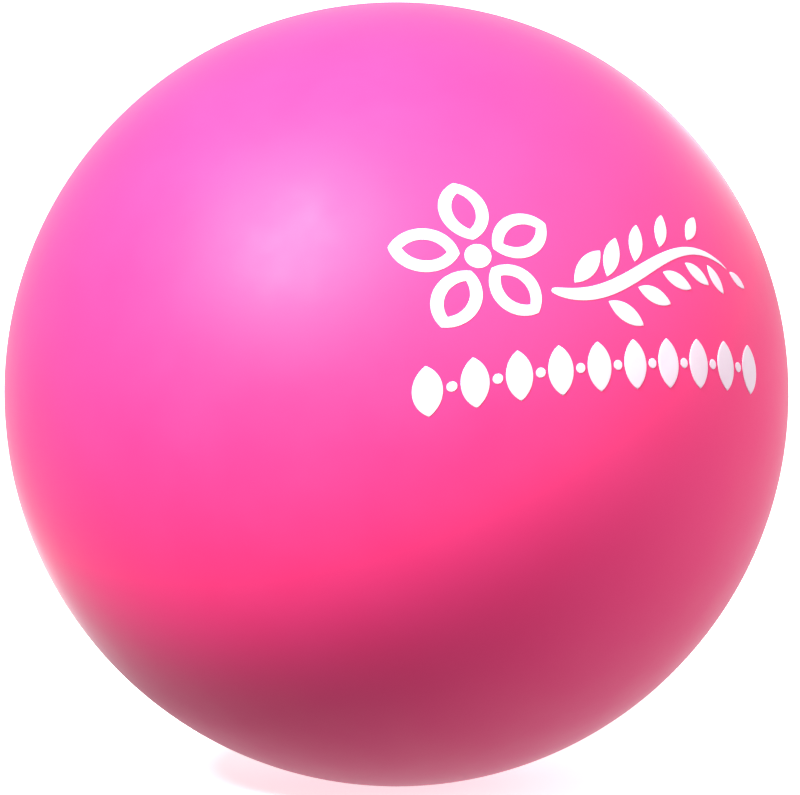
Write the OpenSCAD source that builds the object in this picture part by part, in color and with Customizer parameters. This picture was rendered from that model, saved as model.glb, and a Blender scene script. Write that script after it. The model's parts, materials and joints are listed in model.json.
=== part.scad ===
// Foam stress ball, in millimetres. It stands on a small flat at the origin, +Z is up and the print
// faces -Y. The dense skin and the colour coat are each split at the ball's mid height, where the
// crown moves down over the base as the foam is squeezed. The foam core stays whole.

/* [Ball] */
// Outside diameter over the colour coat
ball_d = 70; // [50:1:90]
// Width of the flat where the pour gate was trimmed off, on which the ball stands
gate_flat_d = 6; // [4:0.5:10]

/* [Skin and coat] */
// Thickness of the dense skin that the foam forms against the mould
skin_t = 0.9; // [0.5:0.1:2]
// Thickness of the sprayed colour coat
coat_t = 0.15; // [0.1:0.05:0.3]
// Width of the raised line where the two mould halves met
parting_w = 0.4; // [0.3:0.1:1]
// Height of that line above the coat
parting_h = 0.05; // [0.03:0.01:0.1]
// Turn of the mould's parting plane about the upright axis, where 0 faces the front
parting_turn = -33; // [-90:1:90]

/* [Print] */
// Height of the print's centre on the ball, as degrees of latitude
print_latitude = 22; // [18:1:40]
// Turn of the print on the ball, anticlockwise
print_roll = 0; // [-10:1:10]
// Width of the print, flat, before it wraps onto the ball
print_w = 36; // [20:1:40]
// Thickness of the ink film
ink_t = 0.06; // [0.03:0.01:0.1]

/* [Sprig] */
// Petals on the flower
petals = 5; // [4:1:6]
// Distance from the flower's centre to a petal's outer tip
flower_r = 7; // [6.5:0.1:7.4]
// Width of a petal
petal_w = 4; // [2.5:0.1:4.2]
// Width of the line that draws each petal
petal_line = 1.05; // [0.6:0.05:1.2]
// Diameter of the flower's eye
eye_d = 2.2; // [1:0.1:2.4]
// Width of the stem where it is widest
stem_w = 1.25; // [0.6:0.05:1.4]
// Length of the leaf nearest the flower
leaf_l = 4.4; // [2.5:0.1:4.8]
// Gap between the stem and a leaf
leaf_gap = 0.4; // [0.2:0.05:0.8]

/* [Bead row] */
// Number of upright seeds in the row
seeds = 10; // [6:1:12]
// Height of a seed
seed_h = 4.2; // [3:0.1:4.4]
// Width of a seed
seed_w = 2.35; // [1.6:0.05:2.6]
// Diameter of the dots between the seeds
dot_d = 0.85; // [0.5:0.05:0.9]

/* [Hidden] */

// facets of the ball and of the print's rounds
ball_fn = 240;
ink_fn = 48;

// the ball's radii, and the height of its centre over the flat it stands on
coat_r = ball_d / 2;
skin_r = coat_r - coat_t;
core_r = skin_r - skin_t;
centre_z = sqrt(pow(coat_r, 2) - pow(gate_flat_d / 2, 2));
reach = coat_r + 1;
ball_turn = [-55, 25, parting_turn];

// The print is drawn flat at a width of 36 and then scaled to print_w, its centre at the origin.
drawn_w = 36;
print_scale = print_w / drawn_w;
flower_at = [-11.1, 2.9];
petal_root = 1.5;
petal_l = flower_r - petal_root;
petal_hollow_l = petal_l - 1.4 * petal_line * petal_l / petal_w;
petal_hollow_w = petal_w - 2 * petal_line;
stem_path = [[-5.4, -0.9], [2, -4], [8, 5.6], [15.6, 0.9]];
stem_steps = 36;
left_leaves = [0.1, 0.28, 0.45, 0.61, 0.78];
right_leaves = [0.24, 0.4, 0.56, 0.72, 0.88];
leaf_lean = 46;
leaf_shrink = 0.38;
leaf_aspect = 0.4;
tip_leaf_l = 2.4;
row_y = -7.8;
seed_pitch = (drawn_w - seed_w) / (seeds - 1);

// A point on the stem's centre line with t from 0 to 1, the direction there as an angle, and the
// width, which swells from a point to stem_w near the root and tapers to a point at the tip
function stem_at(t) = stem_path[0] * pow(1 - t, 3) + stem_path[1] * 3 * t * pow(1 - t, 2)
    + stem_path[2] * 3 * pow(t, 2) * (1 - t) + stem_path[3] * pow(t, 3);
function stem_run(t) = (stem_path[1] - stem_path[0]) * pow(1 - t, 2)
    + (stem_path[2] - stem_path[1]) * 2 * t * (1 - t) + (stem_path[3] - stem_path[2]) * pow(t, 2);
function stem_angle(t) = atan2(stem_run(t)[1], stem_run(t)[0]);
function stem_width(t) = stem_w * pow(max(0, sin(180 * pow(t, 0.55))), 0.6);
function stem_side(t) = [-sin(stem_angle(t)), cos(stem_angle(t))];
function stem_edge(t, side) = stem_at(t) + stem_side(t) * side * stem_width(t) / 2;

// A ball about the ball's own centre, its poles and its seam turned clear of every cut
module ball(r) {
    translate([0, 0, centre_z])
        rotate(ball_turn)
            sphere(r = r, $fn = ball_fn);
}

// The space from height z0 up to height z1
module slab(z0, z1) {
    translate([-reach, -reach, z0])
        cube([2 * reach, 2 * reach, z1 - z0]);
}

// The low line that the mould's parting leaves round the ball, as a disc through its middle
module parting_disc() {
    translate([0, 0, centre_z])
        rotate([90, 0, parting_turn])
            cylinder(r = coat_r + parting_h, h = parting_w, center = true, $fn = ball_fn);
}

// The ball under its coat, whose flat lies one coat above the coat's own flat
module skinned_ball() {
    intersection() {
        ball(skin_r);
        slab(coat_t, centre_z + reach);
    }
}

module skin_shell(z0, z1) {
    difference() {
        intersection() {
            skinned_ball();
            slab(z0, z1);
        }
        ball(core_r);
    }
}

module coat_shell(z0, z1) {
    difference() {
        intersection() {
            ball(coat_r);
            slab(z0, z1);
        }
        skinned_ball();
    }
    difference() {
        intersection() {
            parting_disc();
            slab(z0, z1);
        }
        ball(coat_r);
    }
}

// A pointed oval along X, as the overlap of two circles
module pointed_oval(l, w) {
    r = (pow(l, 2) + pow(w, 2)) / (4 * w);
    intersection() {
        translate([0, w / 2 - r])
            circle(r = r, $fn = ink_fn * 2);
        translate([0, r - w / 2])
            circle(r = r, $fn = ink_fn * 2);
    }
}

// A petal drawn in line, its root on the origin's side
module petal() {
    translate([petal_root + petal_l / 2, 0])
        difference() {
            pointed_oval(petal_l, petal_w);
            pointed_oval(petal_hollow_l, petal_hollow_w);
        }
}

module flower() {
    translate(flower_at) {
        for (i = [0:petals - 1])
            rotate(90 + i * 360 / petals)
                petal();
        circle(d = eye_d, $fn = ink_fn);
    }
}

module stem() {
    polygon(concat(
        [for (i = [0:stem_steps]) stem_edge(i / stem_steps, 1)],
        [for (i = [stem_steps - 1:-1:1]) stem_edge(i / stem_steps, -1)]));
}

// One leaf beside the stem at t, on its left with side 1 and on its right with side -1
module leaf(t, side) {
    l = leaf_l * (1 - leaf_shrink * t);
    translate(stem_at(t) + stem_side(t) * side * (stem_w / 2 + leaf_gap))
        rotate(stem_angle(t) + side * leaf_lean)
            translate([l / 2, 0])
                pointed_oval(l, l * leaf_aspect);
}

// The leaf that carries on from the stem's tip
module tip_leaf() {
    translate(stem_at(1))
        rotate(stem_angle(1))
            translate([tip_leaf_l / 2 + leaf_gap, 0])
                pointed_oval(tip_leaf_l, tip_leaf_l * leaf_aspect);
}

// Raises flat ink shapes to a film on the ball's coat, round the print's centre
module as_ink() {
    difference() {
        intersection() {
            translate([0, 0, centre_z])
                rotate([90 - print_latitude, 0, 0])
                    rotate([0, 0, print_roll])
                        translate([0, 0, coat_r / 3])
                            linear_extrude(height = coat_r)
                                scale(print_scale)
                                    children();
            ball(coat_r + ink_t);
        }
        ball(coat_r);
    }
}

module foam_core() {
    color("lightpink")
        ball(core_r);
}

module skin_lower() {
    color("pink")
        skin_shell(coat_t, centre_z);
}

module skin_upper() {
    color("pink")
        skin_shell(centre_z, centre_z + reach);
}

module coat_lower() {
    color("deeppink")
        coat_shell(0, centre_z);
}

module coat_upper() {
    color("hotpink")
        coat_shell(centre_z, centre_z + reach);
}

// A line-drawn flower and a leafy stem that trails from it
module print_sprig() {
    color("white")
        as_ink() {
            flower();
            stem();
            for (t = left_leaves)
                leaf(t, 1);
            for (t = right_leaves)
                leaf(t, -1);
            tip_leaf();
        }
}

// A row of upright seeds with a dot between each two
module print_bead_row() {
    color("white")
        as_ink() {
            for (i = [0:seeds - 1])
                translate([(i - (seeds - 1) / 2) * seed_pitch, row_y])
                    rotate(90)
                        pointed_oval(seed_h, seed_w);
            for (i = [0:seeds - 2])
                translate([(i - (seeds - 2) / 2) * seed_pitch, row_y])
                    circle(d = dot_d, $fn = ink_fn);
        }
}

foam_core();
skin_lower();
skin_upper();
coat_lower();
coat_upper();
print_sprig();
print_bead_row();
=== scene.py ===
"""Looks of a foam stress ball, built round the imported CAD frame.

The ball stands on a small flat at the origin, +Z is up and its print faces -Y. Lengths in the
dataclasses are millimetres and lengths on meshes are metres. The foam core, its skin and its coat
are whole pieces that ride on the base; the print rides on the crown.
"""

from __future__ import annotations

import json
import logging
from dataclasses import dataclass, field
from enum import Enum

import bmesh
import bpy
import numpy as np
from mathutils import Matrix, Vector

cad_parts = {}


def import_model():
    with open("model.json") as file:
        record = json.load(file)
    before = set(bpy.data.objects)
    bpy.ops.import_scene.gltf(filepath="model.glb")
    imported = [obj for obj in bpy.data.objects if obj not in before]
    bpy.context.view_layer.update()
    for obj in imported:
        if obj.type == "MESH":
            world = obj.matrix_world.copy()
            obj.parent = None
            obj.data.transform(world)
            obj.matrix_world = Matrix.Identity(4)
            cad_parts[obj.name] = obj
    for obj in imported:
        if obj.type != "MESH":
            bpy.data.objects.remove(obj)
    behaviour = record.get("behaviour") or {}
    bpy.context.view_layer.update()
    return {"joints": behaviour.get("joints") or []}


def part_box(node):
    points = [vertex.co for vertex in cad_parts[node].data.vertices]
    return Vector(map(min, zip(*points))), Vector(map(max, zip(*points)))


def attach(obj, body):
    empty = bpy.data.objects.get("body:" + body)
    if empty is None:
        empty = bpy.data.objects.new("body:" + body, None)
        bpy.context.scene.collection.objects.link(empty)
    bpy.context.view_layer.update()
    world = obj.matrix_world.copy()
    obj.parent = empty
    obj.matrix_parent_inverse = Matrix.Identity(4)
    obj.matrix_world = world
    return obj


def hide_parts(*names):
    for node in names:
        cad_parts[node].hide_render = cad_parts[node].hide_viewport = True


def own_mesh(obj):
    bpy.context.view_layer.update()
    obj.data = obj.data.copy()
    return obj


LOG = logging.getLogger("stress_ball")
MM = 0.001
SQUEEZE = "squeeze"
UP = (0.0, 0.0, 1.0)
WHITE = (1.0, 1.0, 1.0, 1.0)

# points closer than this, in metres, are one point
WELD = 1e-7
# a direction that points down by less than this never reaches the ball's flat
LEAST_SLOPE = 1e-9
# the part of a cloudy noise's values that is spread over the whole of a finish's range
CLOUDY = (0.3, 0.7)
# points along each edge of an oval or a dot
OVAL_STEPS = 28
# the Mix node's colour sockets by number, because its other kinds have sockets of the same names
MIX_AMOUNT, MIX_FIRST, MIX_SECOND, MIX_RESULT = 0, 6, 7, 2

Socket = bpy.types.NodeSocket
Colour = tuple[float, float, float]
Span = tuple[float, float]
Mesh = tuple[np.ndarray, np.ndarray]


class Side(Enum):
    """Which side of the stem a leaf grows on, seen from the root."""

    LEFT = 1.0
    RIGHT = -1.0


class Texture(Enum):
    """The noise that a finish draws its grain with."""

    CLOUD = "ShaderNodeTexNoise"
    CELLS = "ShaderNodeTexVoronoi"


# ------------------------------------------------------------------ meshes


def mesh_object(
    name: str, points: np.ndarray, quads: np.ndarray, weld: bool = False
) -> bpy.types.Object:
    """Makes a smooth mesh object at the origin.

    Args:
        name: The piece's name.
        points: Places in metres, one row each.
        quads: Four point numbers a row, counter-clockwise seen from outside.
        weld: Whether to merge points that coincide and turn all faces outwards.

    Returns:
        The object, linked to the scene.
    """
    mesh = bpy.data.meshes.new(name)
    mesh.vertices.add(len(points))
    mesh.vertices.foreach_set("co", points.astype(np.float32).ravel())
    mesh.loops.add(quads.size)
    mesh.loops.foreach_set("vertex_index", quads.astype(np.int32).ravel())
    mesh.polygons.add(len(quads))
    mesh.polygons.foreach_set("loop_start", np.arange(0, quads.size, 4, dtype=np.int32))
    mesh.polygons.foreach_set("use_smooth", np.ones(len(quads), bool))
    mesh.update(calc_edges=True)
    if weld:
        work = bmesh.new()
        work.from_mesh(mesh)
        bmesh.ops.remove_doubles(work, verts=work.verts, dist=WELD)
        bmesh.ops.recalc_face_normals(work, faces=work.faces)
        work.to_mesh(mesh)
        work.free()
    mesh.validate()
    piece = bpy.data.objects.new(name, mesh)
    bpy.context.scene.collection.objects.link(piece)
    return piece


def report(piece: bpy.types.Object, nodes: list[str]) -> None:
    """Logs a finished piece with its size in faces and the nodes that it stands for."""
    faces = len(piece.data.polygons)
    LOG.info("%s: %d faces, stands for %s", piece.name, faces, ", ".join(nodes))


def even_steps(count: int) -> np.ndarray:
    """Cube places from -1 to 1 at even angles: the tangent of an even angle up to 45 degrees."""
    return np.tan(np.linspace(-np.pi / 4, np.pi / 4, count + 1))


def crowded_steps(count: int, crowding: float) -> np.ndarray:
    """Cube places that crowd towards 0: the tangent of sinh(k u) / sinh(k) x 45 degrees."""
    even = np.linspace(-1, 1, count + 1)
    return np.tan(np.pi / 4 * np.sinh(crowding * even) / np.sinh(crowding))


def blown_cube(steps: list[np.ndarray]) -> Mesh:
    """Blows a cube's six surface grids out to a unit ball.

    A point of the cube's surface grid is (x, y, z), with one of them at an end of its steps, and
    its direction is that point divided by its length. The six grids share the lattice's own point
    numbers, so their edges are closed.

    Args:
        steps: The lattice's places along x, y and z.

    Returns:
        The unit directions, and the quads that join them, facing out.
    """
    counts = [len(s) for s in steps]
    quads = []
    for axis in range(3):
        across, along = (axis + 1) % 3, (axis + 2) % 3
        i, j = np.meshgrid(np.arange(counts[across]), np.arange(counts[along]), indexing="ij")
        for end in (0, counts[axis] - 1):
            lattice = [None, None, None]
            lattice[axis], lattice[across], lattice[along] = np.full_like(i, end), i, j
            number = lattice[0] + counts[0] * (lattice[1] + counts[1] * lattice[2])
            ring = [number[:-1, :-1], number[1:, :-1], number[1:, 1:], number[:-1, 1:]]
            ring = ring if end else ring[::-1]
            quads.append(np.stack([r.ravel() for r in ring], 1))
    used, packed = np.unique(np.vstack(quads), return_inverse=True)
    x, rest = used % counts[0], used // counts[0]
    cube = np.stack([steps[0][x], steps[1][rest % counts[1]], steps[2][rest // counts[1]]], 1)
    return cube / np.linalg.norm(cube, axis=1, keepdims=True), packed.reshape(-1, 4)


# ------------------------------------------------------------------ materials


class Shader:
    """A material's node tree under construction, ending in one Principled shader."""

    def __init__(self, name: str) -> None:
        """Starts an empty tree with object coordinates and the shader."""
        self.material = bpy.data.materials.new(name)
        self.material.use_nodes = True
        self.tree = self.material.node_tree
        self.tree.nodes.clear()
        self.principled = self.node("ShaderNodeBsdfPrincipled")
        output = self.node("ShaderNodeOutputMaterial")
        self.link(self.principled.outputs["BSDF"], output.inputs["Surface"])
        self.place = self.node("ShaderNodeTexCoord").outputs["Object"]

    def node(self, kind: str, **values: object) -> bpy.types.Node:
        """Adds a node.

        Args:
            kind: The node's type.
            values: Its properties, by name.

        Returns:
            The node.
        """
        made = self.tree.nodes.new(kind)
        for key, value in values.items():
            setattr(made, key, value)
        return made

    def link(self, source: Socket, target: Socket) -> None:
        """Joins an output to an input."""
        self.tree.links.new(source, target)

    def constants(self, **values: float) -> None:
        """Sets numbers on the shader's own sockets, named with _ for a space."""
        for key, value in values.items():
            self.principled.inputs[key.replace("_", " ")].default_value = value

    def grain(
        self, size_mm: float, detail: float = 2.0, texture: Texture = Texture.CLOUD
    ) -> Socket:
        """A noise in object space.

        Args:
            size_mm: The size of one blob or cell.
            detail: How many finer octaves lie on it.
            texture: The kind of noise.

        Returns:
            Its value, from 0 to 1.
        """
        noise = self.node(texture.value)
        noise.inputs["Scale"].default_value = 1 / (size_mm * MM)
        noise.inputs["Detail"].default_value = detail
        self.link(self.place, noise.inputs["Vector"])
        return noise.outputs["Distance" if texture is Texture.CELLS else "Fac"]

    def span(self, source: Socket, taken: Span, given: Span = (0, 1)) -> Socket:
        """Maps one range of values onto another, clamped.

        Args:
            source: The value to map.
            taken: The ends of the range that it is read over.
            given: What those two ends become.

        Returns:
            The mapped value.
        """
        ranged = self.node("ShaderNodeMapRange", clamp=True)
        keys = ("From Min", "From Max", "To Min", "To Max")
        for key, value in zip(keys, (*taken, *given)):
            ranged.inputs[key].default_value = value
        self.link(source, ranged.inputs["Value"])
        return ranged.outputs["Result"]

    def math(self, operation: str, first: Socket, second: Socket | float) -> Socket:
        """One arithmetic step on two values.

        Args:
            operation: Its name, as the Math node has it.
            first: A value.
            second: A value or a number.

        Returns:
            The result.
        """
        step = self.node("ShaderNodeMath", operation=operation)
        self.link(first, step.inputs[0])
        if isinstance(second, float):
            step.inputs[1].default_value = second
        else:
            self.link(second, step.inputs[1])
        return step.outputs[0]

    def blend(self, amount: Socket, first: Colour | Socket, second: Colour) -> Socket:
        """Blends from one colour to another.

        Args:
            amount: From 0, all the first colour, to 1, all the second.
            first: A fixed colour, or one from another step.
            second: A fixed colour.

        Returns:
            The blended colour.
        """
        mix = self.node("ShaderNodeMix", data_type="RGBA")
        self.link(amount, mix.inputs[MIX_AMOUNT])
        if isinstance(first, tuple):
            mix.inputs[MIX_FIRST].default_value = (*first, 1)
        else:
            self.link(first, mix.inputs[MIX_FIRST])
        mix.inputs[MIX_SECOND].default_value = (*second, 1)
        return mix.outputs[MIX_RESULT]

    def bump(self, height: Socket, depth_mm: float, under: Socket | None = None) -> Socket:
        """Raises the surface's shading.

        Args:
            height: Where it is raised, from 0 to 1.
            depth_mm: How far the height of 1 is raised.
            under: Another bump that this one lies on.

        Returns:
            The bumped normal.
        """
        bump = self.node("ShaderNodeBump")
        bump.inputs["Distance"].default_value = depth_mm * MM
        self.link(height, bump.inputs["Height"])
        if under is not None:
            self.link(under, bump.inputs["Normal"])
        return bump.outputs["Normal"]

    def finish(self, colour: Socket, roughness: Socket, normal: Socket) -> bpy.types.Material:
        """Joins what varies over the surface to the shader.

        Args:
            colour: The base colour.
            roughness: The roughness.
            normal: The bumped normal.

        Returns:
            The finished material.
        """
        self.link(colour, self.principled.inputs["Base Color"])
        self.link(roughness, self.principled.inputs["Roughness"])
        self.link(normal, self.principled.inputs["Normal"])
        return self.material


@dataclass(frozen=True)
class SatinCoat:
    """Sprayed flexible coat, satin hot pink with a faint spray mottle and orange peel."""

    tone: Colour = (0.92, 0.0335, 0.1988)
    thin_tone: Colour = (0.92, 0.0385, 0.2112)
    line_tone: Colour = (0.856, 0.0288, 0.1763)
    scar_tone: Colour = (0.902, 0.0936, 0.2665)
    mottle_mm: float = 9.0
    wear_mm: float = 4.5
    peel_mm: float = 0.9
    peel_depth_mm: float = 0.006
    dust_mm: float = 0.16
    dust_depth_mm: float = 0.0016
    roughness: Span = (0.52, 0.58)
    scar_roughness: float = 0.8
    specular: float = 0.36
    sheen: float = 0.27
    sheen_roughness: float = 0.28
    line_half_mm: float = 0.3
    scar_top_mm: float = 0.03

    def material(self, ball: BallBody) -> bpy.types.Material:
        """Builds the coat's material.

        The colour is darker by the parting line, where the distance to its plane is under its half
        width, and paler on the trimmed flat, where the height over the floor is next to nothing.

        Args:
            ball: The ball, whose parting plane the coat has gathered along.

        Returns:
            The coat's material.
        """
        shader = Shader("satin_pink_coat")
        mottle = shader.span(shader.grain(self.mottle_mm, 4.0), CLOUDY)
        colour = shader.blend(mottle, self.tone, self.thin_tone)
        off = shader.node("ShaderNodeVectorMath", operation="DOT_PRODUCT")
        shader.link(shader.place, off.inputs[0])
        off.inputs[1].default_value = tuple(ball.parting_normal)
        from_line = shader.math("ABSOLUTE", off.outputs["Value"], 0.0)
        on_line = shader.span(from_line, (0, self.line_half_mm * MM), (1, 0))
        colour = shader.blend(on_line, colour, self.line_tone)
        split = shader.node("ShaderNodeSeparateXYZ")
        shader.link(shader.place, split.inputs[0])
        on_scar = shader.span(split.outputs["Z"], (0, self.scar_top_mm * MM), (1, 0))
        colour = shader.blend(on_scar, colour, self.scar_tone)
        roughness = shader.span(shader.grain(self.wear_mm, 3.0), CLOUDY, self.roughness)
        rough_scar = shader.math("MULTIPLY", on_scar, self.scar_roughness)
        roughness = shader.math("MAXIMUM", roughness, rough_scar)
        normal = shader.bump(shader.grain(self.peel_mm), self.peel_depth_mm)
        normal = shader.bump(shader.grain(self.dust_mm, 3.0), self.dust_depth_mm, normal)
        shader.constants(Specular_IOR_Level=self.specular, Sheen_Weight=self.sheen)
        shader.constants(Sheen_Roughness=self.sheen_roughness)
        return shader.finish(colour, roughness, normal)


@dataclass(frozen=True)
class PadInk:
    """White pad-printing ink, a thin film that lets a little of the pink through."""

    tone: Colour = (0.86, 0.7, 0.8)
    thin_tone: Colour = (0.84, 0.64, 0.76)
    patch_mm: float = 2.2
    patchy: Span = (0.35, 0.7)
    wear_mm: float = 1.1
    pore_mm: float = 0.22
    pore_depth_mm: float = 0.003
    roughness: Span = (0.42, 0.55)
    ior: float = 1.48

    def material(self) -> bpy.types.Material:
        """Builds the ink's material."""
        shader = Shader("white_pad_ink")
        patches = shader.span(shader.grain(self.patch_mm, 4.0), self.patchy)
        colour = shader.blend(patches, self.tone, self.thin_tone)
        roughness = shader.span(shader.grain(self.wear_mm, 3.0), CLOUDY, self.roughness)
        normal = shader.bump(shader.grain(self.pore_mm, 3.0), self.pore_depth_mm)
        shader.constants(IOR=self.ior)
        return shader.finish(colour, roughness, normal)


@dataclass(frozen=True)
class MouldSkin:
    """Dense skin of the foam, pale pink, matt, with closed pores, each darkened with painted shade.
    """

    tone: Colour = (0.86, 0.42, 0.56)
    pore_shade_tone: Colour = (0.74, 0.30, 0.45)
    pore_mm: float = 0.5
    porous: Span = (0.1, 0.5)
    pore_depth_mm: float = 0.04
    wear_mm: float = 3.0
    roughness: Span = (0.7, 0.85)

    def material(self) -> bpy.types.Material:
        """Builds the skin's material."""
        shader = Shader("dense_foam_skin")
        pores = shader.grain(self.pore_mm, 0.0, Texture.CELLS)
        painted_pore_shade = shader.span(pores, self.porous, (1, 0))
        # painted shade: the colour darkens towards each pore's middle, where the bump sinks it
        colour = shader.blend(painted_pore_shade, self.tone, self.pore_shade_tone)
        roughness = shader.span(shader.grain(self.wear_mm, 3.0), CLOUDY, self.roughness)
        return shader.finish(colour, roughness, shader.bump(pores, self.pore_depth_mm))


@dataclass(frozen=True)
class OpenFoam:
    """Open-cell polyurethane foam, pale pink, with cells about 0.8 mm across, whose hollows are
    darkened with painted shade.
    """

    tone: Colour = (0.88, 0.52, 0.63)
    cell_shade_tone: Colour = (0.62, 0.24, 0.36)
    cell_mm: float = 0.8
    hollow: Span = (0.15, 0.6)
    cell_depth_mm: float = 0.25
    wear_mm: float = 6.4
    roughness: Span = (0.88, 0.97)

    def material(self) -> bpy.types.Material:
        """Builds the foam's material."""
        shader = Shader("open_cell_foam")
        cells = shader.grain(self.cell_mm, 0.0, Texture.CELLS)
        painted_cell_shade = shader.span(cells, self.hollow, (1, 0))
        # painted shade: the colour darkens towards each cell's hollow middle, where the bump sinks
        # it
        colour = shader.blend(painted_cell_shade, self.tone, self.cell_shade_tone)
        roughness = shader.span(shader.grain(self.wear_mm, 3.0), CLOUDY, self.roughness)
        return shader.finish(colour, roughness, shader.bump(cells, self.cell_depth_mm))


@dataclass(frozen=True)
class PaleFloor:
    """Plain pale studio paper, which glows a little so that shadows on it stay light."""

    tone: Colour = (0.82, 0.82, 0.82)
    fibre_tone: Colour = (0.7954, 0.7954, 0.7954)
    fibre_mm: float = 1.5
    fibre_depth_mm: float = 0.01
    roughness: Span = (0.85, 0.95)
    glow: Span = (0.68, 1.1)
    glow_reach: Span = (0.05, 0.7)

    def material(self) -> bpy.types.Material:
        """Builds the floor's material, whose glow grows with the distance from the ball."""
        shader = Shader("pale_studio_paper")
        fibre = shader.grain(self.fibre_mm, 4.0)
        colour = shader.blend(fibre, self.tone, self.fibre_tone)
        away = shader.node("ShaderNodeVectorMath", operation="LENGTH")
        shader.link(shader.place, away.inputs[0])
        glow = shader.span(away.outputs["Value"], self.glow_reach, self.glow)
        shader.link(glow, shader.principled.inputs["Emission Strength"])
        shader.principled.inputs["Emission Color"].default_value = WHITE
        roughness = shader.span(fibre, (0, 1), self.roughness)
        return shader.finish(colour, roughness, shader.bump(fibre, self.fibre_depth_mm))


# ------------------------------------------------------------------ the ball's body


@dataclass
class BallBody:
    """The moulded foam ball: core, skin and coat as three closed pieces about one centre.

    The radii and the centre come from the CAD nodes' boxes. The mould's parting plane is upright
    and turned about the upright axis. A surface takes fine_steps or plain_steps along a side of
    its cube, and the coat takes line_steps across the parting plane, crowded towards it. Each of
    the foam's waves is a rate and its share of the height.
    """

    parting_turn: float = -33.0
    parting_w: float = 0.4
    parting_h: float = 0.05
    gate_flat_d: float = 6.0
    fine_steps: int = 80
    line_steps: int = 200
    crowding: float = 2.6
    plain_steps: int = 44
    foam_waves: tuple = ((41.0, 0.6), (97.0, 0.4))
    coat_finish: SatinCoat = field(default_factory=SatinCoat)
    skin_finish: MouldSkin = field(default_factory=MouldSkin)
    foam_finish: OpenFoam = field(default_factory=OpenFoam)

    def __post_init__(self) -> None:
        """Reads the radii and heights from the frame."""
        self.coat_r = self.half_width("coat_upper")
        self.skin_r = self.half_width("skin_upper")
        self.core_r = self.half_width("foam_core")
        self.coat_t = self.coat_r - self.skin_r
        self.centre_z = np.sqrt(self.coat_r**2 - (self.gate_flat_d * MM / 2) ** 2)
        self.top_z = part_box("coat_upper")[1].z
        turn = np.radians(self.parting_turn)
        self.parting_normal = np.array([np.sin(turn), -np.cos(turn), 0])
        in_plane = np.array([np.cos(turn), np.sin(turn), 0])
        self.grid_axes = np.array([in_plane, -self.parting_normal, UP])

    @staticmethod
    def half_width(node: str) -> float:
        """Half of a node's width along X, in metres."""
        low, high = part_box(node)
        return (high.x - low.x) / 2

    def directions(self, steps: list[np.ndarray]) -> Mesh:
        """The blown cube's directions with its y across the parting plane, and its quads."""
        units, quads = blown_cube(steps)
        return units @ self.grid_axes, quads

    def surface(
        self, units: np.ndarray, radius: float | np.ndarray, floor_z: float
    ) -> np.ndarray:
        """Points of a ball that is cut flat underneath.

        The radius along each direction is the ball's own, or the distance to the plane at floor_z
        where that is nearer.

        Args:
            units: Unit directions from the centre.
            radius: The ball's radius, one for all or one for each direction.
            floor_z: The height of the flat.

        Returns:
            The points, in metres.
        """
        down = np.maximum(-units[:, 2], LEAST_SLOPE)
        reach = np.minimum(radius, (self.centre_z - floor_z) / down)
        return units * reach[:, None] + (0, 0, self.centre_z)

    def parting_line(self, units: np.ndarray) -> np.ndarray:
        """Height of the parting line's bead: one raised cosine across its width."""
        off = np.abs(units @ self.parting_normal) * self.coat_r / (self.parting_w * MM / 2)
        return self.parting_h * MM * (0.5 + 0.5 * np.cos(np.pi * np.clip(off, 0, 1)))

    def cells(self, units: np.ndarray) -> np.ndarray:
        """Uneven surface of the foam core, from 0 to 1.

        Each wave is its share of |sin k(x + y) sin k(y + z) sin k(z + x)|, at a rate of k.

        Args:
            units: Unit directions from the centre.

        Returns:
            A height for each direction.
        """
        pairs = units + units[:, [1, 2, 0]]
        return sum(share * np.abs(np.sin(rate * pairs).prod(1)) for rate, share in self.foam_waves)

    @staticmethod
    def shell(name: str, outer: Mesh, inner: Mesh) -> bpy.types.Object:
        """A closed wall from an outer surface and an inner one turned inside out.

        Args:
            name: The piece's name.
            outer: The outer surface's points and quads.
            inner: The inner surface's points and quads.

        Returns:
            The piece.
        """
        points = np.vstack([outer[0], inner[0]])
        quads = np.vstack([outer[1], inner[1][:, ::-1] + len(outer[0])])
        return mesh_object(name, points, quads)

    def build_coat(self) -> bpy.types.Object:
        """The colour coat: the ball's outside with its parting line, over the skin's outside."""
        fine = even_steps(self.fine_steps)
        units, quads = self.directions([fine, crowded_steps(self.line_steps, self.crowding), fine])
        outside = self.surface(units, self.coat_r + self.parting_line(units), 0)
        plain, plain_quads = self.directions([even_steps(self.plain_steps)] * 3)
        inside = self.surface(plain, self.skin_r, self.coat_t)
        coat = self.shell("colour_coat", (outside, quads), (inside, plain_quads))
        coat.data.materials.append(self.coat_finish.material(self))
        return coat

    def build_skin(self) -> bpy.types.Object:
        """The dense skin: a wall between the coat and the core."""
        units, quads = self.directions([even_steps(self.plain_steps)] * 3)
        outside = self.surface(units, self.skin_r, self.coat_t)
        inside = self.surface(units, self.core_r, 0)
        skin = self.shell("foam_skin", (outside, quads), (inside, quads))
        skin.data.materials.append(self.skin_finish.material())
        return skin

    def build_core(self) -> bpy.types.Object:
        """The foam core: a ball whose surface is pitted by up to the foam's cell depth."""
        units, quads = self.directions([even_steps(self.fine_steps)] * 3)
        pits = self.foam_finish.cell_depth_mm * MM * self.cells(units)
        core = mesh_object("foam_core_body", self.surface(units, self.core_r - pits, 0), quads)
        core.data.materials.append(self.foam_finish.material())
        return core

    def keep(self, travel: float) -> float:
        """The share of its height that the ball keeps after so much travel, in metres."""
        return 1 - travel / self.top_z

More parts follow.
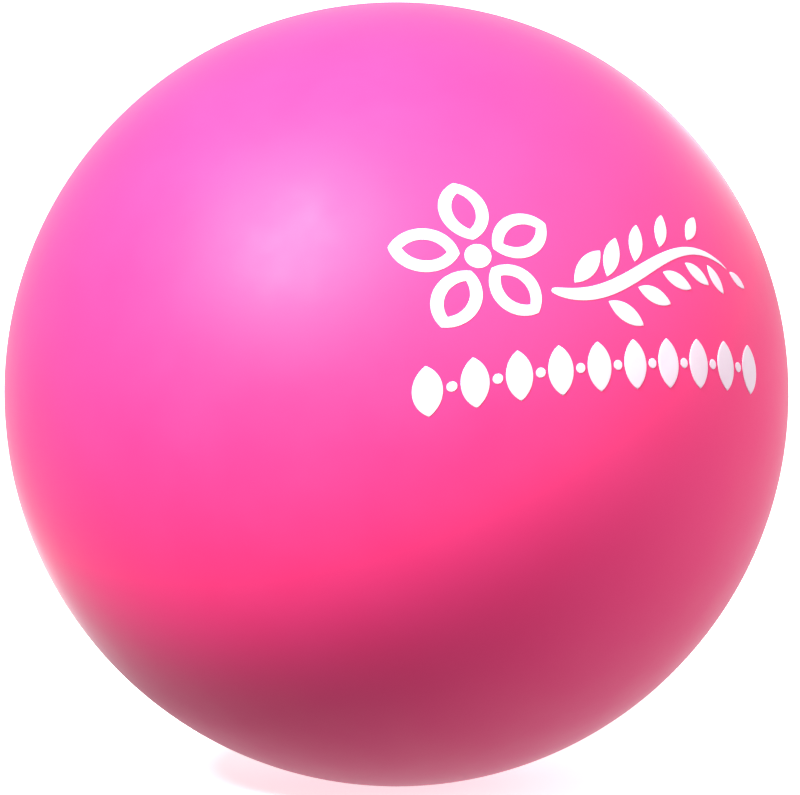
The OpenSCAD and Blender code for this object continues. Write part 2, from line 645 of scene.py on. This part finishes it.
    def build(self, travel: float) -> None:
        """Builds the three pieces and ties them to the frame.

        Args:
            travel: How far the crown comes down at the squeeze's limit, in metres; not used.
        """
        for piece, slot, nodes in (
            (self.build_core(), "foam", ["foam_core"]),
            (self.build_skin(), "skin", ["skin_lower", "skin_upper"]),
            (self.build_coat(), "coat", ["coat_lower", "coat_upper"]),
        ):
            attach(piece, "base")
            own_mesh(piece)
            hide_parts(*nodes)
            report(piece, nodes)


# ------------------------------------------------------------------ the print


@dataclass
class InkShape:
    """A flat patch of ink between a left edge and a right edge, in the print's own millimetres."""

    left: np.ndarray
    right: np.ndarray
    ring: bool = False

    def placed(self, turn: float, at: np.ndarray) -> InkShape:
        """The shape turned anticlockwise by turn radians about the origin, then moved to at."""
        spin = np.array([[np.cos(turn), np.sin(turn)], [-np.sin(turn), np.cos(turn)]])
        return InkShape(self.left @ spin + at, self.right @ spin + at, self.ring)


def pointed_oval(length: float, width: float, steps: int = OVAL_STEPS) -> InkShape:
    """An oval along X with a point at each end.

    Its edges are arcs of one radius r = (length^2 + width^2) / (4 width), whose centres lie r minus
    half the width to each side.

    Args:
        length: From point to point.
        width: Across its middle.
        steps: Points along each edge.

    Returns:
        The oval, its middle at the origin.
    """
    r = (length**2 + width**2) / (4 * width)
    x = -length / 2 * np.cos(np.linspace(0, np.pi, steps))
    y = np.sqrt(r**2 - x**2) + width / 2 - r
    return InkShape(np.stack([x, y], 1), np.stack([x, -y], 1))


def disc(diameter: float, steps: int = OVAL_STEPS) -> InkShape:
    """A round dot, whose edges are its upper and lower half circles.

    Args:
        diameter: The dot's diameter.
        steps: Points along each edge.

    Returns:
        The dot, its middle at the origin.
    """
    angle = np.linspace(0, np.pi, steps)
    x, y = -diameter / 2 * np.cos(angle), diameter / 2 * np.sin(angle)
    return InkShape(np.stack([x, y], 1), np.stack([x, -y], 1))


def outline(outer: InkShape, hollow: InkShape) -> InkShape:
    """The ring of ink between an oval's edge and the edge of the hollow inside it."""
    left, right = (np.vstack([s.left, s.right[-2:0:-1]]) for s in (outer, hollow))
    return InkShape(left, right, ring=True)


@dataclass
class PadPrint:
    """The white print: a line-drawn flower, a leafy stem that trails from it, and a row of seeds.

    It is drawn flat, its centre at the origin, and projected straight onto the ball along the line
    through the print's centre. Its sizes are millimetres and its angles degrees.
    """

    ball: BallBody
    latitude: float = 22.0
    ink_t: float = 0.06
    ink_sink: float = 0.03
    flower_at: tuple = (-11.1, 2.9)
    petals: int = 5
    flower_r: float = 7.0
    petal_root: float = 1.5
    petal_w: float = 4.0
    petal_line: float = 1.05
    petal_end: float = 1.4
    petal_steps: int = 48
    eye_d: float = 2.2
    stem_path: tuple = ((-5.4, -0.9), (2.0, -4.0), (8.0, 5.6), (15.6, 0.9))
    stem_w: float = 1.25
    stem_lean: float = 0.55
    stem_fullness: float = 0.6
    stem_steps: int = 90
    leaf_l: float = 4.4
    leaf_gap: float = 0.4
    leaf_lean: float = 46.0
    leaf_shrink: float = 0.38
    leaf_aspect: float = 0.4
    left_leaves: tuple = (0.1, 0.28, 0.45, 0.61, 0.78)
    right_leaves: tuple = (0.24, 0.4, 0.56, 0.72, 0.88)
    tip_leaf_l: float = 2.4
    seeds: int = 10
    seed_h: float = 4.2
    seed_w: float = 2.35
    dot_d: float = 0.85
    dot_steps: int = 20
    row_y: float = -7.8
    row_w: float = 36.0
    rim_steps: int = 24
    finish: PadInk = field(default_factory=PadInk)

    def stem_point(self, t: np.ndarray) -> np.ndarray:
        """Points of the stem's centre line, a cubic Bezier curve.

        Args:
            t: How far along they are, from 0 at the root to 1 at the tip.

        Returns:
            The points, one row each.
        """
        a, b, c, d = (np.array(p) for p in self.stem_path)
        t = np.atleast_1d(t)[:, None]
        return a * (1 - t) ** 3 + 3 * b * t * (1 - t) ** 2 + 3 * c * t**2 * (1 - t) + d * t**3

    def stem_turn(self, t: np.ndarray) -> np.ndarray:
        """The stem's direction, from the curve's own slope.

        Args:
            t: How far along, from 0 at the root to 1 at the tip.

        Returns:
            Angles in radians, one for each t.
        """
        a, b, c, d = (np.array(p) for p in self.stem_path)
        t = np.atleast_1d(t)[:, None]
        run = (b - a) * (1 - t) ** 2 + 2 * (c - b) * t * (1 - t) + (d - c) * t**2
        return np.arctan2(run[:, 1], run[:, 0])

    def stem(self) -> InkShape:
        """The stem, which swells from a point near the root and tapers to a point at its tip.

        The width is stem_w x sin(pi t^lean)^fullness.

        Returns:
            The stem.
        """
        t = 0.5 - 0.5 * np.cos(np.linspace(0, np.pi, self.stem_steps))
        swell = np.clip(np.sin(np.pi * t**self.stem_lean), 0, 1) ** self.stem_fullness
        turn = self.stem_turn(t)
        half = np.stack([-np.sin(turn), np.cos(turn)], 1) * (self.stem_w * swell)[:, None] / 2
        return InkShape(self.stem_point(t) + half, self.stem_point(t) - half)

    def leaf(self, t: float, side: Side) -> InkShape:
        """A leaf beside the stem, leaning out on its side.

        Args:
            t: How far along the stem it grows.
            side: The side of the stem that it grows on.

        Returns:
            The leaf.
        """
        length = self.leaf_l * (1 - self.leaf_shrink * t)
        turn = float(self.stem_turn(t)[0])
        away = side.value * (self.stem_w / 2 + self.leaf_gap)
        root = self.stem_point(t)[0] + away * np.array([-np.sin(turn), np.cos(turn)])
        lean = turn + side.value * np.radians(self.leaf_lean)
        start = np.array([np.cos(lean), np.sin(lean)]) * length / 2
        return pointed_oval(length, length * self.leaf_aspect).placed(lean, root + start)

    def tip_leaf(self) -> InkShape:
        """The leaf that carries on from the stem's tip."""
        turn = float(self.stem_turn(1.0)[0])
        ahead = np.array([np.cos(turn), np.sin(turn)]) * (self.leaf_gap + self.tip_leaf_l / 2)
        leaf = pointed_oval(self.tip_leaf_l, self.tip_leaf_l * self.leaf_aspect)
        return leaf.placed(turn, self.stem_point(1.0)[0] + ahead)

    def flower(self) -> list[InkShape]:
        """The petals, each an outlined oval, and the eye.

        A petal's hollow is narrower by two lines, and shorter by petal_end lines for every width
        that the petal is long.

        Returns:
            The petals, then the eye.
        """
        length = self.flower_r - self.petal_root
        hollow_l = length - self.petal_end * self.petal_line * length / self.petal_w
        hollow = pointed_oval(hollow_l, self.petal_w - 2 * self.petal_line, self.petal_steps)
        petal = outline(pointed_oval(length, self.petal_w, self.petal_steps), hollow)
        centre = np.array(self.flower_at)
        turns = np.radians(90 + np.arange(self.petals) * 360 / self.petals)
        middle = self.petal_root + length / 2
        spots = centre + middle * np.stack([np.cos(turns), np.sin(turns)], 1)
        petals = [petal.placed(turn, spot) for turn, spot in zip(turns, spots)]
        return [*petals, disc(self.eye_d).placed(0, centre)]

    def sprig(self) -> list[InkShape]:
        """Every shape of the flower and its leafy stem."""
        left = [self.leaf(t, Side.LEFT) for t in self.left_leaves]
        right = [self.leaf(t, Side.RIGHT) for t in self.right_leaves]
        return [*self.flower(), self.stem(), *left, *right, self.tip_leaf()]

    def bead_row(self) -> list[InkShape]:
        """The row of upright seeds with a dot between each two.

        Returns:
            The seeds, then the dots.
        """
        pitch = (self.row_w - self.seed_w) / (self.seeds - 1)
        along = (np.arange(self.seeds) - (self.seeds - 1) / 2) * pitch
        seed = pointed_oval(self.seed_h, self.seed_w)
        dot = disc(self.dot_d, self.dot_steps)
        seeds = [seed.placed(np.pi / 2, np.array([x, self.row_y])) for x in along]
        dots = [dot.placed(0, np.array([x, self.row_y])) for x in along[:-1] + pitch / 2]
        return seeds + dots

    def on_ball(self, flat: np.ndarray, height: np.ndarray) -> np.ndarray:
        """Projects flat places onto the ball.

        A place (u, v) goes to centre + u U + v V + n sqrt((r + height)^2 - u^2 - v^2), where n
        points from the ball's centre to the print's centre, and U and V are its right and its up.

        Args:
            flat: Places in the print's millimetres, with two numbers on the last axis.
            height: Heights over the coat, in metres.

        Returns:
            Points in metres.
        """
        lat = np.radians(self.latitude)
        out = np.array([0, -np.cos(lat), np.sin(lat)])
        right, up = np.array([1.0, 0, 0]), np.array([0, np.sin(lat), np.cos(lat)])
        u, v = np.moveaxis(flat * MM, -1, 0)
        reach = np.sqrt((self.ball.coat_r + height) ** 2 - u**2 - v**2)
        points = u[..., None] * right + v[..., None] * up + reach[..., None] * out
        return points + (0, 0, self.ball.centre_z)

    def film(self, shape: InkShape) -> Mesh:
        """A shape as a closed film of ink with rounded rims.

        Its section is a flattened ring: across it goes by cos(a) and up by sin(a), each to the
        power 1/3, so the top is flat and the rims are round. Its foot is sunk a little into the
        coat. Where the shape is narrower than four times the film, the film thins in step.

        Args:
            shape: The flat shape.

        Returns:
            The film's points and quads.
        """
        angle = np.linspace(0, 2 * np.pi, self.rim_steps, endpoint=False)
        across = np.cbrt(np.cos(angle))
        rise = np.cbrt(np.sin(angle))
        rise = np.where(rise > 0, self.ink_t, self.ink_sink) * rise * MM
        middle, half = (shape.left + shape.right) / 2, (shape.left - shape.right) / 2
        flat = middle[:, None] + half[:, None] * across[None, :, None]
        thin = np.clip(np.linalg.norm(half, axis=1) / (2 * self.ink_t), 0, 1)
        points = self.on_ball(flat, rise[None] * thin[:, None])
        rows, columns = points.shape[:2]
        row = np.arange(rows if shape.ring else rows - 1)[:, None]
        column = np.arange(columns)[None]
        next_row, next_column = (row + 1) % rows, (column + 1) % columns
        corners = [(row, column), (row, next_column), (next_row, next_column), (next_row, column)]
        quads = np.stack([(r * columns + c).ravel() for r, c in corners], 1)
        return points.reshape(-1, 3), quads

    def build_mark(self, name: str, shapes: list[InkShape]) -> bpy.types.Object:
        """One mark of the print.

        Args:
            name: The piece's name.
            shapes: All the flat shapes that it is made of.

        Returns:
            The piece.
        """
        films = [self.film(shape) for shape in shapes]
        starts = np.cumsum([0] + [len(points) for points, _ in films[:-1]])
        points = np.vstack([points for points, _ in films])
        quads = np.vstack([quads + start for (_, quads), start in zip(films, starts)])
        return mesh_object(name, points, quads, weld=True)

    def build(self, travel: float) -> None:
        """Builds both marks and ties them to the frame.

        Args:
            travel: How far the crown comes down at the squeeze's limit, in metres.
        """
        top, keep = (0, 0, self.ball.top_z), self.ball.keep(travel)
        ink = self.finish.material()
        for name, shapes, node in (
            ("ink_sprig", self.sprig(), "print_sprig"),
            ("ink_bead_row", self.bead_row(), "print_bead_row"),
        ):
            mark = self.build_mark(name, shapes)
            mark.data.materials.append(ink)
            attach(mark, "crown")
            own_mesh(mark)
            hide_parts(node)
            report(mark, [node])


# ------------------------------------------------------------------ the studio


@dataclass(frozen=True)
class Softbox:
    """A round area light, aimed at the ball.

    Its direction is in degrees from the camera's, as seen from the ball, and its sizes are metres.
    """

    name: str
    right_of_camera: float
    above_camera: float
    watts: float
    width: float
    distance: float = 1.2

    def build(self, target: Vector, camera: bpy.types.Object) -> None:
        """Places the light.

        Args:
            target: What it points at.
            camera: The camera that its angles are measured from.
        """
        turn, rise = np.radians(self.right_of_camera), np.radians(self.above_camera)
        seen = Vector((np.cos(rise) * np.sin(turn), np.sin(rise), np.cos(rise) * np.cos(turn)))
        way = camera.matrix_world.to_3x3() @ seen
        data = bpy.data.lights.new(self.name, "AREA")
        data.shape, data.size, data.energy = "DISK", self.width, self.watts
        light = bpy.data.objects.new(self.name, data)
        light.location = target + way * self.distance
        light.rotation_euler = way.to_track_quat("Z", "Y").to_euler()
        bpy.context.scene.collection.objects.link(light)


@dataclass
class Studio:
    """Camera, lights, surround and floor for the ball.

    The angles are degrees. The camera's distance and the floor's sizes are metres, and ball_share
    is the share of the frame's width that the ball takes up.
    """

    ball: BallBody
    camera_turn: float = -33.3
    camera_rise: float = 6.0
    camera_distance: float = 0.7
    ball_share: float = 0.9804
    aim_right_mm: float = 0.31
    aim_down_mm: float = 0.28
    sensor: float = 36.0
    clip_near: float = 0.05
    clip_far: float = 50.0
    surround_start: float = -0.3
    surround_near: float = 0.16
    surround_behind: float = 1.12
    surround_lift: float = -0.12
    surround_right: float = 0.3
    surround_up: float = -0.15
    floor_r: float = 2.0
    floor_steps: int = 11
    sweep_r: float = 1.2
    sweep_steps: int = 24
    wall_h: float = 2.0
    round_steps: int = 128
    floor_finish: PaleFloor = field(default_factory=PaleFloor)
    lights: tuple[Softbox, ...] = (
        Softbox("key_softbox", -38.0, 42.5, 38.5, 0.46),
        Softbox("fill_softbox", 45.8, 36.0, 17.5, 1.99),
    )

    def build_camera(self, centre: Vector) -> bpy.types.Object:
        """A long lens in front of the ball, to the print's left, that the ball almost fills.

        The ball's outline is r / sqrt(d^2 - r^2) of the distance to each side of the axis.

        Args:
            centre: The ball's centre.

        Returns:
            The camera.
        """
        turn, rise = np.radians(self.camera_turn), np.radians(self.camera_rise)
        back = Vector((np.sin(turn) * np.cos(rise), -np.cos(turn) * np.cos(rise), np.sin(rise)))
        data = bpy.data.cameras.new("camera")
        outline = self.ball.coat_r / np.sqrt(self.camera_distance**2 - self.ball.coat_r**2)
        data.sensor_width = self.sensor
        data.lens = self.sensor * self.ball_share / (2 * outline)
        data.clip_start, data.clip_end = self.clip_near, self.clip_far
        camera = bpy.data.objects.new("camera", data)
        camera.rotation_euler = back.to_track_quat("Z", "Y").to_euler()
        bpy.context.scene.collection.objects.link(camera)
        bpy.context.view_layer.update()
        shift = Vector((self.aim_right_mm, -self.aim_down_mm, 0))
        aside = camera.matrix_world.to_3x3() @ shift * MM
        camera.location = centre + back * self.camera_distance + aside
        bpy.context.scene.camera = camera
        bpy.context.view_layer.update()
        return camera

    def build_floor(self) -> None:
        """A pale floor that sweeps up into a round wall far off.

        It is a profile turned about the ball's axis: a disc, a quarter circle and an upright wall.
        It catches the ball's shadow and throws no light back.
        """
        disc_r = np.linspace(0, self.floor_r, self.floor_steps, endpoint=False)
        bend = np.linspace(0, np.pi / 2, self.sweep_steps)
        sweep_r = self.floor_r + self.sweep_r * np.sin(bend)
        sweep_z = self.sweep_r * (1 - np.cos(bend))
        radius = np.concatenate([disc_r, sweep_r, sweep_r[-1:]])
        height = np.concatenate([np.zeros_like(disc_r), sweep_z, sweep_z[-1:] + self.wall_h])
        turn = np.linspace(0, 2 * np.pi, self.round_steps, endpoint=False)
        ring = np.stack([np.cos(turn), np.sin(turn)], 1)
        flat = radius[:, None, None] * ring
        points = np.dstack([flat, np.broadcast_to(height[:, None], flat.shape[:2])])
        row, column = np.arange(len(radius) - 1)[:, None], np.arange(len(turn))[None]
        after = (column + 1) % len(turn)
        corners = [(row, column), (row + 1, column), (row + 1, after), (row, after)]
        quads = np.stack([(r * len(turn) + c).ravel() for r, c in corners], 1)
        floor = mesh_object("studio_floor", points.reshape(-1, 3), quads)
        floor.data.materials.append(self.floor_finish.material())
        floor.visible_diffuse = False
        floor.visible_glossy = False
        floor.visible_shadow = False

    def build_surround(self, camera: bpy.types.Object) -> None:
        """A pale surround that lights the shaded side and is brighter behind the ball.

        Its strength goes smoothly from one level to the other with the cosine to its brightest
        direction, which is a little to the right of and below the line of sight, and falls a little
        with height.

        Args:
            camera: The camera whose line of sight it is set by.
        """
        world = bpy.data.worlds.new("studio_surround")
        world.use_nodes = True
        tree = world.node_tree
        background = tree.nodes["Background"]
        background.inputs["Color"].default_value = WHITE
        way = tree.nodes.new("ShaderNodeTexCoord").outputs["Generated"]
        behind = tree.nodes.new("ShaderNodeVectorMath")
        behind.operation = "DOT_PRODUCT"
        brightest = Vector((self.surround_right, self.surround_up, -1)).normalized()
        behind.inputs[1].default_value = camera.matrix_world.to_3x3() @ brightest
        tree.links.new(way, behind.inputs[0])
        level = tree.nodes.new("ShaderNodeMapRange")
        level.interpolation_type = "SMOOTHSTEP"
        level.inputs["From Min"].default_value = self.surround_start
        level.inputs["To Min"].default_value = self.surround_near
        level.inputs["To Max"].default_value = self.surround_behind
        tree.links.new(behind.outputs["Value"], level.inputs["Value"])
        split = tree.nodes.new("ShaderNodeSeparateXYZ")
        tree.links.new(way, split.inputs[0])
        lifted = tree.nodes.new("ShaderNodeMath")
        lifted.operation = "MULTIPLY_ADD"
        tree.links.new(split.outputs["Z"], lifted.inputs[0])
        lifted.inputs[1].default_value = self.surround_lift
        tree.links.new(level.outputs["Result"], lifted.inputs[2])
        tree.links.new(lifted.outputs[0], background.inputs["Strength"])
        bpy.context.scene.world = world

    def build(self) -> None:
        """Sets up the whole studio, with colours shown as they are."""
        centre = Vector((0, 0, self.ball.centre_z))
        camera = self.build_camera(centre)
        for light in self.lights:
            light.build(centre, camera)
        self.build_floor()
        self.build_surround(camera)
        bpy.context.scene.view_settings.view_transform = "Standard"


def main() -> None:
    """Builds the studio, the ball and its print."""
    logging.basicConfig(level=logging.INFO, format="%(name)s: %(message)s")
    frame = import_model()
    travel = max(j["range_m"][1] for j in frame["joints"] if j["name"] == SQUEEZE)
    ball = BallBody()
    Studio(ball).build()
    ball.build(travel)
    PadPrint(ball).build(travel)


if __name__ == "__main__":
    main()
